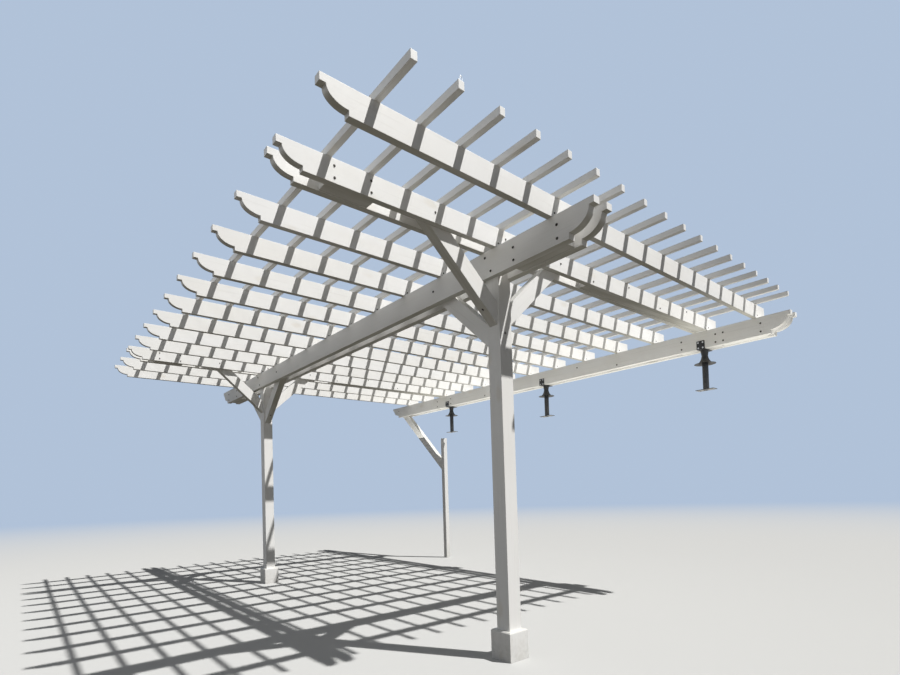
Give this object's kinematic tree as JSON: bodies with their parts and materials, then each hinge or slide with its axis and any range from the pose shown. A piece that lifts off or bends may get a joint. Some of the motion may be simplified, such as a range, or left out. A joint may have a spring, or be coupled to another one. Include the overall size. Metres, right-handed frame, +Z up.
{
  "type": "pergola",
  "caption": "White timber pergola with scroll-cut paired beams and rafters, crossing battens, knee braces, wrapped posts and steel roof risers under its rear beam.",
  "frame": {"origin": "centre of the right front post's foot, on the deck", "axes": "+X along the beams towards the right end, +Y along the rafters towards the rear beam, +Z up"},
  "size_m": [8.217, 6.012, 3.611],
  "materials": {
    "painted_rafter": "weathered white exterior paint on sawn timber",
    "painted_batten": "weathered white exterior paint on sawn timber",
    "painted_brace": "weathered white exterior paint on sawn timber",
    "painted_beam": "weathered white exterior paint on sawn timber",
    "painted_block": "weathered white exterior paint on sawn timber",
    "painted_post": "weathered white exterior paint on sawn timber",
    "steel": "black powder coat on steel"
  },
  "bodies": {
    "root": {"back_beam_blocks": "painted_block", "back_beam_inner": "painted_beam", "back_beam_outer": "painted_beam", "battens_1": "painted_batten", "battens_2": "painted_batten", "battens_3": "painted_batten", "front_beam_blocks": "painted_block", "front_beam_inner": "painted_beam", "front_beam_outer": "painted_beam", "front_post_left": "painted_post", "front_post_right": "painted_post", "knee_brace_front_left": "painted_brace", "knee_brace_front_right": "painted_brace", "knee_brace_inner_left": "painted_brace", "knee_brace_inner_right": "painted_brace", "knee_brace_outer_left": "painted_brace", "knee_brace_rear_left": "painted_brace", "knee_brace_rear_right": "painted_brace", "post_base_left": "painted_post", "post_base_right": "painted_post", "rafter_01": "painted_rafter", "rafter_02_left": "painted_rafter", "rafter_02_right": "painted_rafter", "rafter_03": "painted_rafter", "rafter_04": "painted_rafter", "rafter_05": "painted_rafter", "rafter_06": "painted_rafter", "rafter_07": "painted_rafter", "rafter_08": "painted_rafter", "rafter_09": "painted_rafter", "rafter_10": "painted_rafter", "rafter_11_left": "painted_rafter", "rafter_11_right": "painted_rafter", "rafter_12": "painted_rafter", "rafter_13": "painted_rafter", "rafter_blocks_left": "painted_block", "rafter_blocks_right": "painted_block", "rain_collars": "steel", "rear_corner_post": "painted_post", "rear_kicker_brace": "painted_brace", "roof_riser_centre": "steel", "roof_riser_left": "steel", "roof_riser_right": "steel"}
  },
  "joints": []
}
